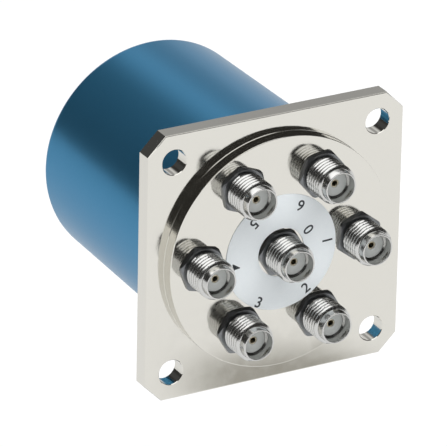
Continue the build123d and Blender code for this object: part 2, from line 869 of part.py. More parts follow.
with BuildPart() as can_screws:
    for x, z in ring_points(post_ring_radius, post_count, standoff_start):
        head_back = can_back - pan_head_height
        shank_tip = header_front + stud_reach
        revolve(
            screw_profile(head_back, can_back, shank_tip, stud_radius, pan_head_radius, x, z),
            axis=lathe_axis(x, z),
        )
    for x, z in ring_points(post_ring_radius, post_count, standoff_start):
        extrude(
            Pos(x, 0, z) * drive_cross(can_back - pan_head_height),
            amount=drive_slot_depth,
            mode=Mode.SUBTRACT,
        )
save(can_screws.part, "can_screws")
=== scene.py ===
# %% [markdown]
# # A remote coaxial switch, from the outside in
# The real switch is a square flange of polished nickel-plated metal with a round boss on its front.
# Seven threaded coaxial jacks stand on the boss, and a blue can behind the flange hides the coils.
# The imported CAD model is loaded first. It is the fixed frame: every piece below is made at its
# true place in it, in metres, with -Y forward out of the jacks and +Z up.

# %% Load the frame
import json
from math import atan2, cos, degrees, hypot, pi, radians, sin

import bpy
from mathutils import Matrix, Vector


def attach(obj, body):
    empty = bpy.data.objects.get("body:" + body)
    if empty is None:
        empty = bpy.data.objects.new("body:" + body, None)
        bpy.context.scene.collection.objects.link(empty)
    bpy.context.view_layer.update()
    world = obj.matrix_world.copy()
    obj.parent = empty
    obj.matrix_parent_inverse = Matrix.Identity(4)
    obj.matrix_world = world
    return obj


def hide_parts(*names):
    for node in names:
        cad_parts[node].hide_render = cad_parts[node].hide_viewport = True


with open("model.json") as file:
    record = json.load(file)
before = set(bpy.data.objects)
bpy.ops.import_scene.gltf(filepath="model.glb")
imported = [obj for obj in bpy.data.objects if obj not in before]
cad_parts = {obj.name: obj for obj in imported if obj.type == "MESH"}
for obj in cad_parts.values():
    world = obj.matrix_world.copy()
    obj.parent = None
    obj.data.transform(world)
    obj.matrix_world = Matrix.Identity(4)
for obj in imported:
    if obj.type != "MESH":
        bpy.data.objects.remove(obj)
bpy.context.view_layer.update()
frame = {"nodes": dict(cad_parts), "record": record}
BODY = "switch_body"
MM = 0.001
print("frame loaded,", len(frame["nodes"]), "nodes")

# %% [markdown]
# ## Materials
# Every finish starts from what the real one is. One function turns an sRGB hex value to the linear
# numbers that the shader wants, and one adds a node with its settings and its links.

# %% Colour and node helpers
def linear(hex_colour):
    """An sRGB hex value as a linear colour with full alpha."""
    channels = [int(hex_colour[i : i + 2], 16) / 255 for i in (1, 3, 5)]
    return [c / 12.92 if c <= 0.04045 else ((c + 0.055) / 1.055) ** 2.4 for c in channels] + [1.0]


def add(tree, kind, links=None, **settings):
    """Add a node, set its properties, and give each socket a link or a value."""
    node = tree.nodes.new(kind)
    for name, value in settings.items():
        setattr(node, name, value)
    for socket, value in (links or {}).items():
        if isinstance(value, bpy.types.NodeSocket):
            tree.links.new(value, node.inputs[socket])
        else:
            node.inputs[socket].default_value = value
    return node


def finish(name):
    """A new material with a plain Principled surface: the material, its tree and its shader."""
    material = bpy.data.materials.new(name)
    material.use_nodes = True
    tree = material.node_tree
    return material, tree, tree.nodes["Principled BSDF"]


def grain(tree, shader, grain_mm, detail, bump_mm):
    """Patches of a real size that also lift the surface: how strong they are, from 0 to 1."""
    where = add(tree, "ShaderNodeTexCoord")
    patches = add(tree, "ShaderNodeTexNoise",
                  {"Vector": where.outputs["Object"], "Scale": 1 / (grain_mm * MM),
                   "Detail": detail})
    relief = add(tree, "ShaderNodeBump",
                 {"Height": patches.outputs["Fac"], "Distance": bump_mm * MM, "Strength": 1.0})
    tree.links.new(relief.outputs["Normal"], shader.inputs["Normal"])
    return patches.outputs["Fac"]


# %% [markdown]
# Polished metal is never one even mirror. A faint unevenness in its roughness, and a relief of a
# micrometre at most, blur each reflection a little more here and a little less there. The real
# grain is a few micrometres wide, too fine to show, so it is drawn 0.3 to 2 mm wide.

# %% Metals
patch_low, patch_high = 0.3, 0.7     # where most of the noise lies, between 0 and 1


def metal(name, colour, roughness, spread, grain_mm, bump_mm):
    """A metal whose roughness wanders by the spread, over patches of the grain's size."""
    material, tree, shader = finish(name)
    shader.inputs["Base Color"].default_value = linear(colour)
    shader.inputs["Metallic"].default_value = 1.0
    patches = grain(tree, shader, grain_mm, 3.0, bump_mm)
    rough = add(tree, "ShaderNodeMapRange",
                {"Value": patches, "From Min": patch_low, "From Max": patch_high,
                 "To Min": roughness - spread, "To Max": roughness + spread})
    tree.links.new(rough.outputs["Result"], shader.inputs["Roughness"])
    return material


# Polished plating: a warm mirror, nearly even. It covers the body.
nickel = metal("polished_nickel_plate", "#D6D4CD", 0.09, 0.03, 2.0, 0.0001)
# Turned and passivated: a mirror, softened by the fine marks of the tool.
steel = metal("passivated_steel", "#C8C8C6", 0.20, 0.03, 0.4, 0.0002)
# A darker, duller grey steel for the hexagons, which shows only broad lights.
darker_hex_finish = metal("darker_hex_steel", "#7C7E80", 0.34, 0.05, 0.4, 0.0005)
# Thin gold plate on contacts and strips, seen down dark bores: pale, with a soft highlight.
gold = metal("gold_plated_copper", "#CDC3AA", 0.34, 0.05, 0.3, 0.0005)
# Milled aluminium of the cover and the pivots' frame: pale and slightly frosted.
aluminium = metal("machined_aluminium", "#C9CACB", 0.30, 0.06, 0.8, 0.001)
# Zinc on screws and posts: a cool grey with a broken shine.
zinc = metal("zinc_plated_steel", "#B9BABB", 0.28, 0.06, 0.5, 0.001)
# Soft iron of the magnetic circuit under a flash of nickel: darker and duller than the body.
iron = metal("nickel_flashed_iron", "#9C9B99", 0.36, 0.06, 0.6, 0.001)
# Spring wire with the drawing die's satin shine.
wire = metal("drawn_spring_wire", "#A9A8A5", 0.30, 0.05, 0.3, 0.0005)
# Tin over brass on the pins: bright, with a hint of yellow.
tin = metal("tinned_brass", "#CFCDC6", 0.22, 0.05, 0.4, 0.0006)
# Copper windings under clear enamel: a red brown with a satin shine.
copper = metal("enamelled_copper_wire", "#A65A2E", 0.30, 0.05, 0.4, 0.0005)

# %% [markdown]
# The plastics, the paint and the rubber are moulded, sprayed or pressed. What the eye gets from
# each is a colour that drifts very little, a soft highlight, and a texture finer than a tenth of
# a millimetre, which is drawn 0.2 to 0.6 mm wide so that it shows at all.

# %% Plastics, paint and rubber
def moulded(name, colour, shade, roughness, grain_mm, bump_mm, ior=1.5):
    """A non-metal whose colour drifts from one hex value to another over small patches."""
    material, tree, shader = finish(name)
    shader.inputs["Roughness"].default_value = roughness
    shader.inputs["IOR"].default_value = ior
    patches = grain(tree, shader, grain_mm, 4.0, bump_mm)
    tone = add(tree, "ShaderNodeMix", {0: patches, 6: linear(colour), 7: linear(shade)},
               data_type="RGBA")
    tree.links.new(tone.outputs[2], shader.inputs["Base Color"])
    return material


# Clear blue lacquer on bright metal: the metal under it shines through, in the lacquer's colour.
enamel = moulded("blue_lacquer_over_metal", "#4085AD", "#3C81A9", 0.28, 0.5, 0.0008)
lacquer = enamel.node_tree.nodes["Principled BSDF"]
lacquer.inputs["Metallic"].default_value = 0.82
lacquer.inputs["Specular Tint"].default_value = linear("#E4E8EC")
# Turned fluoropolymer: milky and waxy, with hardly any shine.
ptfe = moulded("machined_ptfe", "#CBCECB", "#C1C4C2", 0.45, 0.5, 0.001, 1.35)
# Marking film: a cool matt white.
foil = moulded("matte_label_film", "#E8EDEF", "#E2E8EB", 0.55, 0.4, 0.0008)
# Printing ink: a matt near-black.
ink = moulded("printed_black_ink", "#22262B", "#2B3036", 0.55, 0.2, 0.0005)
# Push rods, turned: ivory, with a satin shine.
acetal = moulded("natural_acetal", "#E9E7DE", "#E0DED3", 0.40, 0.6, 0.001, 1.48)
# Bobbins: black, dulled by the glass fibres.
nylon = moulded("glass_filled_nylon", "#1E1F21", "#292A2C", 0.50, 0.3, 0.002)
# Circuit board under its glossy lacquer.
laminate = moulded("green_solder_mask", "#1C5A34", "#194F2E", 0.30, 0.5, 0.001)
# Pressed resin of the header: a dark brown with a slight mottle.
phenolic = moulded("brown_phenolic", "#33241B", "#3F2D22", 0.42, 0.4, 0.002)
# Pressed rubber of the seal: black, with almost no highlight.
rubber = moulded("black_nitrile_rubber", "#161617", "#1D1D1E", 0.60, 0.3, 0.001)
print(len(bpy.data.materials), "materials in the file")

# %% [markdown]
# The pieces inside need no finer shape than the CAD gives them, so each CAD node is dressed as it
# is. The pieces that the eye gets close to are made anew further on and take their nodes' places.

# %% Give every CAD node its finish
slot_finish = {
    "nickel_plate": nickel, "passivated_steel": steel, "ptfe": ptfe, "gold_plate": gold,
    "label_foil": foil, "blue_enamel": enamel, "bare_aluminium": aluminium, "steel_screw": zinc,
    "acetal": acetal, "spring_wire": wire, "soft_iron": iron, "bobbin_nylon": nylon,
    "copper_winding": copper, "board_laminate": laminate, "header_phenolic": phenolic,
    "tinned_brass": tin, "seal_rubber": rubber,
}


def dress(piece, material):
    """Give a piece one finish all over."""
    piece.data.materials.clear()
    piece.data.materials.append(material)


for row in frame["record"]["subparts"]:
    dress(frame["nodes"][row["node"]], slot_finish[row["material_slot"]])

# %% [markdown]
# ## Flange and boss
# The real body is milled and turned from one billet, then plated and polished. A square plate is
# added as a cube, its corners are cut by a bevel, and the round boss and spigot are turned and
# united with it. Holes are cut last, as on the mill.
#
# Operators act on whatever is selected, so each step starts from a clean selection. Places on the
# switch are given as a "station": millimetres forward of the flange's front face, along -Y.

# %% Selection, places and what was made
def start_fresh():
    """Back to object mode with nothing selected."""
    if bpy.context.mode != "OBJECT":
        bpy.ops.object.mode_set(mode="OBJECT")
    bpy.ops.object.select_all(action="DESELECT")


def choose(*pieces):
    """Select these pieces, the last of them active."""
    start_fresh()
    for piece in pieces:
        piece.select_set(True)
    bpy.context.view_layer.objects.active = pieces[-1]


def place(x, station, z):
    """The point at x and z millimetres, that far forward of the flange's face."""
    return Vector((x * MM, -station * MM, z * MM))


def on_ring(radius, angle):
    """The x and z of a point on a ring, at an angle in degrees from +X towards +Z."""
    return radius * cos(radians(angle)), radius * sin(radians(angle))


def report(piece):
    """Print what was made."""
    size = [round(side / MM, 2) for side in piece.dimensions]
    print(f"{piece.name}: {len(piece.data.polygons)} faces, {size} mm")


# %% Sizes of the body
flange_side, flange_thickness, corner_cut, edge_break = 44.45, 2.67, 3.0, 0.25
hole_inset, hole_radius, hole_break = 4.575, 2.07, 0.08
boss_radius, boss_height, boss_break, boss_foot = 19.2, 2.07, 0.15, 0.09
boss_root = -0.5                     # inside the plate, where the boss gives way to the spigot
spigot_back, spigot_radius = -6.6, 18.4696
groove_front, groove_back, groove_floor = -3.95, -5.25, 17.7696

# %% [markdown]
# The plate could be drawn as an eight-sided outline and extruded. A cube is quicker, and the bevel
# that cuts its four corners is the same tool that then breaks the sharp edges round the front face.
# Those narrow breaks catch the light and make the plate look like real metal.

# %% The square plate
def block(centre, sides, turn=0.0):
    """A box with sides of x, y and z millimetres, turned about Y by an angle in radians."""
    start_fresh()
    bpy.ops.mesh.primitive_cube_add(size=1, location=centre, rotation=(0, turn, 0),
                                    scale=[side * MM for side in sides])
    bpy.ops.object.transform_apply(location=True, rotation=True, scale=True)
    return bpy.context.object


def pick_edges(piece, wanted):
    """Go into edit mode with only those edges selected whose two ends pass the test."""
    choose(piece)
    bpy.ops.object.mode_set(mode="EDIT")
    bpy.ops.mesh.select_mode(type="EDGE")
    bpy.ops.mesh.select_all(action="DESELECT")
    bpy.ops.object.mode_set(mode="OBJECT")
    corners = piece.data.vertices
    for edge in piece.data.edges:
        edge.select = wanted(*(corners[i].co for i in edge.vertices))
    bpy.ops.object.mode_set(mode="EDIT")


def bevel_edges(piece, wanted, width, segments):
    """Bevel the edges that pass the test by a width in millimetres."""
    pick_edges(piece, wanted)
    bpy.ops.mesh.bevel(offset=width * MM, offset_type="OFFSET", segments=segments, affect="EDGES")
    bpy.ops.object.mode_set(mode="OBJECT")


plate = block(place(0, -flange_thickness / 2, 0), (flange_side, flange_thickness, flange_side))
plate.name = plate.data.name = "rf_body_finished"
bevel_edges(plate, lambda a, b: abs(a.y - b.y) > MM, corner_cut, 1)
bevel_edges(plate, lambda a, b: a.y < MM / 2 and b.y < MM / 2, edge_break, 2)
report(plate)

# %% [markdown]
# Whatever a lathe makes is drawn here as half of its outline and spun round its axis. A cylinder
# with bevels would need one bevel for each step, while an outline holds every step and every broken
# edge at once. A Boolean then unites two pieces or takes one out of the other.

# %% Turning and cutting
def turned(name, profile, x=0.0, z=0.0, steps=96):
    """Spin an outline of (radius, station) points round the line through x and z."""
    start_fresh()
    first = place(x + profile[0][0], profile[0][1], z)
    bpy.ops.mesh.primitive_plane_add(size=MM, location=(0, 0, 0))
    piece = bpy.context.object
    piece.name = piece.data.name = name
    bpy.ops.object.mode_set(mode="EDIT")
    bpy.ops.mesh.select_mode(type="VERT")
    bpy.ops.mesh.merge(type="CENTER")
    bpy.ops.transform.translate(value=first)
    last = first
    for radius, station in profile[1:]:
        point = place(x + radius, station, z)
        bpy.ops.mesh.extrude_region_move(TRANSFORM_OT_translate={"value": point - last})
        last = point
    bpy.ops.mesh.select_all(action="SELECT")
    bpy.ops.mesh.spin(steps=steps, angle=2 * pi, center=place(x, 0, z), axis=(0, 1, 0))
    bpy.ops.mesh.select_all(action="SELECT")
    bpy.ops.mesh.remove_doubles(threshold=0.002 * MM)
    bpy.ops.mesh.normals_make_consistent(inside=False)
    bpy.ops.object.mode_set(mode="OBJECT")
    return piece


def cut(piece, tool, operation="DIFFERENCE"):
    """Boolean a tool out of a piece (or onto it), and throw the tool away."""
    choose(piece)
    modifier = piece.modifiers.new("Cut", "BOOLEAN")
    modifier.operation = operation
    modifier.solver = "EXACT"
    modifier.object = tool
    bpy.ops.object.modifier_apply(modifier=modifier.name)
    bpy.data.objects.remove(tool)
    return piece


# %% The boss and spigot, turned and united with the plate
# Points on a rounded edge or fillet, as shares of its radius in from where its two sides meet:
# 1 - cos 45 in the middle of an edge, and 1 - cos 30 with 1 - sin 30 twice along a fillet.
middle, near, far = 0.3, 0.13, 0.5
boss_profile = [
    (0, boss_height), (boss_radius - boss_break, boss_height),
    (boss_radius - boss_break * middle, boss_height - boss_break * middle),
    (boss_radius, boss_height - boss_break), (boss_radius, boss_foot),
    (boss_radius + boss_foot * near, boss_foot * far),
    (boss_radius + boss_foot * far, boss_foot * near),
    (boss_radius + boss_foot, 0), (boss_radius + boss_foot, boss_root), (spigot_radius, boss_root),
    (spigot_radius, groove_front), (groove_floor, groove_front), (groove_floor, groove_back),
    (spigot_radius, groove_back), (spigot_radius, spigot_back), (0, spigot_back),
]
body = cut(plate, turned("boss", boss_profile, steps=256), "UNION")
report(body)

# %% [markdown]
# Four bolt holes stand in the corners, and each jack screws into a stepped bore. A drilled hole has
# its sharp rim broken. The drill is therefore turned with a cone at both faces of the plate, so
# that one cut leaves the hole and its broken rims, and no edge has to be found again afterwards.

# %% Ring of jacks, and the holes that the mill and drill leave
ring_radius = 13.65
throw_angles = {str(n): -60.0 * (n - 1) for n in range(1, 7)}
jack_places = {"common": (0.0, 0.0)}
for name, angle in throw_angles.items():
    jack_places[name] = on_ring(ring_radius, angle)
cavity_floor, barrel_back, insulator_bore = -4.2, -1.93, 2.09

hole_place = flange_side / 2 - hole_inset
over = 0.3                           # how far the drill stands out of the plate at both faces
cone_radius = hole_radius + hole_break + over
hole_profile = [
    (0, over), (cone_radius, over), (hole_radius, -hole_break),
    (hole_radius, -flange_thickness + hole_break), (cone_radius, -flange_thickness - over),
    (0, -flange_thickness - over),
]
for side_x in (-1, 1):
    for side_z in (-1, 1):
        cut(body, turned("drill", hole_profile, side_x * hole_place, side_z * hole_place, 72))

bore_radius, bore_top = 2.92, 3.0
bore_seat = barrel_back - 0.1        # a little deeper than the jack's barrel
bore_end = cavity_floor - 0.05       # just through the floor of the signal cavity
bore_profile = [(0, bore_top), (bore_radius, bore_top), (bore_radius, bore_seat),
                (insulator_bore, bore_seat), (insulator_bore, bore_end), (0, bore_end)]
for x, z in jack_places.values():
    cut(body, turned("bore", bore_profile, x, z, 64))
report(body)

# %% [markdown]
# Behind the flange the spigot holds the signal cavity: a pocket at the common contact, one at each
# outer contact, and a channel between for each contact strip. Tapped holes beside them take the
# cover's screws and the studs of the stack behind. The cutters are made first, each reaching out of
# the back, and are taken out of the spigot one by one, which keeps every Boolean a simple one.

# %% The signal cavity in the spigot's back, and the tapped holes
def bar(radius, front, back, x=0.0, z=0.0, sides=96):
    """A round or many-sided bar between two stations, for a cutter or a blank."""
    start_fresh()
    bpy.ops.mesh.primitive_cylinder_add(vertices=sides, radius=radius * MM,
                                        depth=(front - back) * MM,
                                        location=place(x, (front + back) / 2, z),
                                        rotation=(pi / 2, 0, 0))
    bpy.ops.object.transform_apply(location=True, rotation=True, scale=True)
    return bpy.context.object


hub_pocket, end_pocket, channel_width = 4.6, 2.4, 2.6
cutter_back = spigot_back - 1
cutters = [bar(hub_pocket, cavity_floor, cutter_back)]
for name, angle in throw_angles.items():
    x, z = jack_places[name]
    cutters.append(bar(end_pocket, cavity_floor, cutter_back, x, z, 64))
    cutters.append(block(place(x / 2, (cavity_floor + cutter_back) / 2, z / 2),
                         (ring_radius, cavity_floor - cutter_back, channel_width),
                         -radians(angle)))
# Radius, ring radius and depth of the taps for the cover's screws and for the studs.
cover_taps, stud_taps = (0.82, 6.3, 2.7), (1.02, 15.4, 3.5)
for tap_radius, tap_ring, tap_depth in (cover_taps, stud_taps):
    for angle in range(30, 390, 60):
        x, z = on_ring(tap_ring, angle)
        cutters.append(bar(tap_radius, spigot_back + tap_depth, cutter_back, x, z, 32))
for cutter in cutters:
    cut(body, cutter)
report(body)

# %% [markdown]
# Large polished faces meet at breaks a few tenths of a millimetre wide. All smooth, the breaks
# would bend the light on the flats, and all flat, the round walls would show their facets. So the
# mesh is smoothed up to an angle, and each normal then leans towards the largest face beside it.

# %% Shade and plate the body
def smooth(piece, angle=30, crisp=None):
    """Shade round walls smooth, keep every corner past the angle crisp, and let large faces lead.

    A test of an edge's two ends can keep further edges crisp.
    """
    choose(piece)
    bpy.ops.object.shade_smooth_by_angle(angle=radians(angle))
    if crisp:
        pick_edges(piece, crisp)
        bpy.ops.mesh.mark_sharp()
        bpy.ops.object.mode_set(mode="OBJECT")
    weighting = piece.modifiers.new("Large faces lead", "WEIGHTED_NORMAL")
    weighting.mode = "FACE_AREA"
    weighting.weight = 50
    weighting.keep_sharp = True
    bpy.ops.object.modifier_apply(modifier=weighting.name)


smooth(body)
dress(body, nickel)
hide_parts("rf_body")
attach(body, BODY)
report(body)

# %% [markdown]
# ## Jacks
# Each jack is turned from steel bar: a low hexagon on the boss, a coupling thread of 36 turns to
# the inch, and a plain pilot round an open mouth. Its blank is spun from its outline, which
# already holds the relief behind the thread, the thread's two chamfers and the rounded rims.

# %% Sizes of a jack
jack_face, jack_seat, hex_top = 8.17, 6.22, 2.60
thread_radius, root_radius, pitch = 3.175, 2.755, 25.4 / 36
relief_top, crest_lead, crest_front, thread_end = 2.766, 0.24, 6.76, jack_face - 1.22
barrel_radius, barrel_lead = 2.90, 0.2
pilot_radius, pilot_tip, rim_break = 2.70, 2.58, 0.08
mouth_radius, mouth_break = 2.33, 0.06

# %% The blank
blank_profile = [
    (insulator_bore, barrel_back), (barrel_radius - barrel_lead, barrel_back),
    (barrel_radius, barrel_back + barrel_lead), (barrel_radius, boss_height),
    (root_radius, boss_height), (root_radius, relief_top),
    (thread_radius, relief_top + crest_lead), (thread_radius, crest_front),
    (root_radius, thread_end), (pilot_radius, thread_end), (pilot_tip, jack_face - rim_break),
    (pilot_tip - rim_break * middle, jack_face - rim_break * middle),
    (pilot_tip - rim_break, jack_face), (mouth_radius + mouth_break, jack_face),
    (mouth_radius + mouth_break / 3, jack_face - mouth_break / 3),
    (mouth_radius, jack_face - mouth_break), (mouth_radius, jack_seat),
    (insulator_bore, jack_seat), (insulator_bore, barrel_back),
]
shell = turned("jack_shell", blank_profile, steps=96)
report(shell)

# %% [markdown]
# The thread is cut as a lathe cuts it: a V-shaped outline is wound round the axis by a Screw
# modifier, its two ends are closed, and the coil is taken out of the blank. Plain rings would be
# quicker, but they don't climb, and that shows from the side. The coil starts and ends clear of the
# crests. It moves forward, along -Y, while it turns by a negative angle about +Y, and that makes
# the thread right-handed.

# %% Wind the thread tool and cut the thread
run_in, tool_turns, turn_steps = 1.6 * pitch, 9, 96
half_width, reach, half_flat = 0.24, 0.25, 0.015
flare = half_width * (1 + reach / (thread_radius - root_radius))
tool_start = run_in - relief_top
tool_outline = [(root_radius, -half_flat), (thread_radius + reach, -flare),
                (thread_radius + reach, flare), (root_radius, half_flat), (root_radius, -half_flat)]
points = [Vector((r * MM, (tool_start + y) * MM, 0)) for r, y in tool_outline]
start_fresh()
bpy.ops.mesh.primitive_plane_add(size=MM, location=(0, 0, 0))
thread_tool = bpy.context.object
bpy.ops.object.mode_set(mode="EDIT")
bpy.ops.mesh.select_mode(type="VERT")
bpy.ops.mesh.select_all(action="SELECT")
bpy.ops.mesh.merge(type="CENTER")
bpy.ops.transform.translate(value=points[0])
for before, after in zip(points, points[1:]):
    bpy.ops.mesh.extrude_region_move(TRANSFORM_OT_translate={"value": after - before})
bpy.ops.mesh.select_all(action="SELECT")
bpy.ops.mesh.remove_doubles(threshold=0.001 * MM)
bpy.ops.object.mode_set(mode="OBJECT")
winding = thread_tool.modifiers.new("Wind", "SCREW")
winding.axis = "Y"
winding.angle = -2 * pi
winding.screw_offset = -pitch * MM
winding.iterations = tool_turns
winding.steps = winding.render_steps = turn_steps
winding.use_normal_calculate = True
choose(thread_tool)
bpy.ops.object.modifier_apply(modifier=winding.name)
bpy.ops.object.mode_set(mode="EDIT")
bpy.ops.mesh.select_all(action="SELECT")
bpy.ops.mesh.remove_doubles(threshold=0.001 * MM)
bpy.ops.mesh.select_all(action="DESELECT")
bpy.ops.mesh.select_mode(type="EDGE")
bpy.ops.mesh.select_non_manifold()
bpy.ops.mesh.edge_face_add()
bpy.ops.mesh.select_all(action="SELECT")
bpy.ops.mesh.normals_make_consistent(inside=False)
bpy.ops.object.mode_set(mode="OBJECT")
report(thread_tool)
cut(shell, thread_tool)
report(shell)

# %% [markdown]
# The hexagon is milled, and the lathe then takes its sharp corners off at about 30 degrees. A bar
# with six sides gives the flats, and what it shares with a turned crown is what the lathe leaves.
# It is given a darker, duller grey than the turned steel. On the shell, the root of the thread is
# kept as a crisp line, because the two flanks meet there at an angle that smoothing would hide.

# %% The hexagon, its corners turned off, and the shell in one piece
hex_radius, corner_turned, crown_drop = 3.5, 3.92, 0.24
crown_face = hex_radius + 0.02       # just past the flats, so only the corners are cut
hexagon = bar(hex_radius / cos(radians(30)), hex_top, boss_height, sides=6)
crown = turned("crown", [(0, boss_height - 1), (corner_turned, boss_height - 1),
                         (corner_turned, hex_top - crown_drop), (crown_face, hex_top),
                         (0, hex_top)], steps=96)
cut(hexagon, crown, "INTERSECT")
cut(hexagon, bar(root_radius - 0.01, hex_top + 1, boss_height - 1, sides=128))
dress(hexagon, darker_hex_finish)
smooth(hexagon, 25)


def along_root(a, b):
    """Whether both ends of an edge lie on the thread's root."""
    return all(abs(hypot(end.x, end.z) / MM - root_radius) < 0.02 for end in (a, b))


def joined(name, pieces):
    """Join pieces into one object."""
    choose(*pieces)
    bpy.ops.object.join()
    piece = bpy.context.object
    piece.name = piece.data.name = name
    return piece


dress(shell, steel)
smooth(shell, 70, along_root)
shell = joined("jack_shell", [hexagon, shell])
report(shell)

# %% [markdown]
# A jack is screwed in until it is tight, so no two hexagons have to point the same way. The
# finished shell is copied seven times, each copy with its own mesh and its own turn.

# %% Seven shells, each screwed home to its own angle
def twin(piece, name, x=0.0, z=0.0, turn=0.0):
    """A copy with its own mesh, turned about the piece's axis and set at x and z."""
    start_fresh()
    copy = piece.copy()
    copy.data = piece.data.copy()
    copy.name = copy.data.name = name
    bpy.context.collection.objects.link(copy)
    copy.data.transform(Matrix.Translation((x * MM, 0, z * MM)) @ Matrix.Rotation(-turn, 4, "Y"))
    return copy


hex_degrees = dict(zip(jack_places, (30, 52, 30, 30, 20, 10, 40)))
for name, (x, z) in jack_places.items():
    copy = twin(shell, f"jack_{name}_shell", x, z, radians(hex_degrees[name]))
    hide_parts(f"jack_shell_{name}")
    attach(copy, BODY)
bpy.data.objects.remove(shell)
print(len(jack_places), "shells made")

# %% [markdown]
# Inside each shell a white PTFE sleeve holds the contact in the middle. It is turned from rod, and
# its front face is the pale ring at the bottom of the mouth. One is spun, copied and joined,
# because the CAD counts the seven as one piece.

# %% Insulating sleeves
sleeve_bore, sleeve_radius, sleeve_back = 0.655, 2.05, -4.5
sleeve_break, bore_break = 0.04, 0.045
sleeve_profile = [
    (sleeve_bore, sleeve_back), (sleeve_radius, sleeve_back),
    (sleeve_radius, jack_seat - sleeve_break), (sleeve_radius - sleeve_break, jack_seat),
    (sleeve_bore + bore_break, jack_seat), (sleeve_bore, jack_seat - bore_break),
    (sleeve_bore, sleeve_back),
]
sleeve = turned("sleeve", sleeve_profile, steps=96)
dress(sleeve, ptfe)
smooth(sleeve)
sleeves = joined("insulating_sleeves",
                 [twin(sleeve, f"sleeve_{name}", x, z) for name, (x, z) in jack_places.items()])
bpy.data.objects.remove(sleeve)
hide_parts("insulators")
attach(sleeves, BODY)
report(sleeves)

# %% [markdown]
# The contact is a turned copper alloy pin, drilled from the front to take the plug's pin, sawn
# across into four springy tines and plated with gold. Two thin blocks do the sawing. All six
# strips land on the common contact's wide head, and each outer contact has a small head, so one
# contact of each kind is made and copied to its places.

# %% Socket contacts
contact_face, contact_radius, contact_tip, contact_break = 6.10, 0.635, 0.60, 0.05
head_back, head_break, common_head, throw_head = -5.6, 0.05, 2.6, 0.9
socket_radius, socket_mouth, mouth_cone, socket_depth, drill_point = 0.465, 0.49, 0.03, 3.0, 0.1
slot_width, slot_depth, saw_over, saw_across = 0.10, 2.2, 1.0, 3.0


def socket_contact(head_radius):
    """A contact on the switch's axis, with a head of that radius at its back."""
    contact = turned("contact", [
        (0, head_back), (head_radius - head_break, head_back),
        (head_radius, head_back + head_break), (head_radius, sleeve_back),
        (contact_radius, sleeve_back), (contact_radius, contact_face - contact_break),
        (contact_radius - contact_break * middle, contact_face - contact_break * middle),
        (contact_tip, contact_face), (socket_mouth, contact_face),
        (socket_radius, contact_face - mouth_cone), (socket_radius, contact_face - socket_depth),
        (0, contact_face - socket_depth - drill_point),
    ], steps=64)
    for turn in (pi / 4, 3 * pi / 4):
        cut(contact, block(place(0, contact_face + (saw_over - slot_depth) / 2, 0),
                           (saw_across, saw_over + slot_depth, slot_width), turn))
    dress(contact, gold)
    smooth(contact)
    return contact


common_contact, throw_contact = socket_contact(common_head), socket_contact(throw_head)
for name, (x, z) in jack_places.items():
    contact = twin(common_contact if name == "common" else throw_contact, f"contact_{name}", x, z)
    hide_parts(f"centre_contact_{name}")
    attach(contact, BODY)
report(common_contact)
report(throw_contact)
bpy.data.objects.remove(common_contact)
bpy.data.objects.remove(throw_contact)

# %% [markdown]
# ## Marking film and port numbers
# A thin film disc, stuck on the boss round the common jack, numbers the ports. It is spun with its
# real thickness: a flat disc laid in the boss's own face would flicker with it.

# %% The film
film_radius, film_hole, film, film_break = 9.6, 4.00, 0.12, 0.03
label = turned("marking_film", [
    (film_hole, boss_height), (film_radius, boss_height),
    (film_radius, boss_height + film - film_break), (film_radius - film_break, boss_height + film),
    (film_hole, boss_height + film), (film_hole, boss_height)], steps=160)
dress(label, foil)
smooth(label)
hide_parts("label_disc")
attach(label, BODY)
report(label)

# %% [markdown]
# The real numbers are printed. An image would blur at this size, so they are the font's own
# numerals, turned to mesh a few micrometres thick, each with its top towards the middle.

# %% The numerals
numeral_size, ink_thickness, ink_spread = 2.5, 0.006, 0.03
marks = {"0": (4.79, 2.93), "1": (8.21, 0.37), "2": (4.55, -7.03), "3": (-3.78, -7.83),
         "4": (-8.21, -0.97), "5": (-4.89, 5.75), "6": (3.27, 7.29)}
stand = Matrix.Rotation(pi / 2, 4, "X")
glyphs = []
for digit, (x, z) in marks.items():
    start_fresh()
    bpy.ops.object.text_add(location=(0, 0, 0))
    text = bpy.context.object
    text.data.body = digit
    text.data.size = numeral_size * MM
    text.data.extrude = ink_thickness * MM
    text.data.offset = ink_spread * MM
    text.data.align_x, text.data.align_y = "CENTER", "CENTER"
    bpy.ops.object.convert(target="MESH")
    upright = atan2(-z, -x) - pi / 2
    text.data.transform(Matrix.Translation(place(x, boss_height + film, z))
                        @ Matrix.Rotation(-upright, 4, "Y") @ stand)
    text.data.materials.append(ink)
    glyphs.append(text)
numbers = joined("port_numbers", glyphs)
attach(numbers, BODY)
report(numbers)

# %% [markdown]
# ## Can
# The can is deep drawn from sheet, so its wall tapers slightly, its rear corner is round and its
# rim sits on the flange. It is sprayed blue outside. A Solidify modifier would give one thickness
# all over, but the drawn end is thicker than the wall, so the whole section is spun.

# %% The can
def arc(centre, radius, start, end, count):
    """Points of a rounded corner of the section, from one angle in degrees to another."""
    step = (end - start) / count
    return [(centre[0] + radius * cos(radians(start + step * i)),
             centre[1] + radius * sin(radians(start + step * i))) for i in range(count + 1)]


